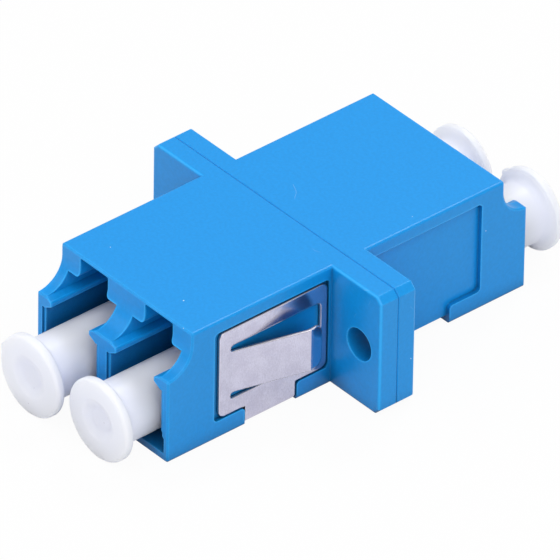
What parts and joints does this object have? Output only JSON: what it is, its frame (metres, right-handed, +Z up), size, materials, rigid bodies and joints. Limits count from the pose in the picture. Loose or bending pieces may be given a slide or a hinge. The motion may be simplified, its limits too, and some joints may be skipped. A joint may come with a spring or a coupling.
{
  "type": "lc fibre adapter",
  "caption": "Flanged duplex fibre-optic coupler with square latch ports at both ends, a folded spring clip under the body and pull-off dust caps.",
  "frame": {"origin": "bottom centre, in the plane where the two housing halves meet", "axes": "+X across the two ports, +Y along the fibre from front to rear, +Z up"},
  "size_m": [0.022, 0.0364, 0.009],
  "materials": {
    "blue_plastic": "satin moulded",
    "spring_steel": "bright rolled sheet",
    "zirconia": "polished ceramic",
    "cap_plastic": "soft translucent moulding"
  },
  "bodies": {
    "adapter": {"front_housing": "blue_plastic", "rear_housing": "blue_plastic", "spring_clip": "spring_steel", "alignment_sleeve_left": "zirconia", "alignment_sleeve_right": "zirconia"},
    "cap_front_left": {"dust_cap_front_left": "cap_plastic"},
    "cap_front_right": {"dust_cap_front_right": "cap_plastic"},
    "cap_rear_left": {"dust_cap_rear_left": "cap_plastic"},
    "cap_rear_right": {"dust_cap_rear_right": "cap_plastic"}
  },
  "joints": [
    {"name": "pull_cap_front_left", "type": "slide", "parent": "adapter", "child": "cap_front_left", "axis": [0, -1, 0], "range_m": [0, 0.011]},
    {"name": "pull_cap_front_right", "type": "slide", "parent": "adapter", "child": "cap_front_right", "axis": [0, -1, 0], "range_m": [0, 0.011]},
    {"name": "pull_cap_rear_left", "type": "slide", "parent": "adapter", "child": "cap_rear_left", "axis": [0, 1, 0], "range_m": [0, 0.011]},
    {"name": "pull_cap_rear_right", "type": "slide", "parent": "adapter", "child": "cap_rear_right", "axis": [0, 1, 0], "range_m": [0, 0.011]}
  ]
}
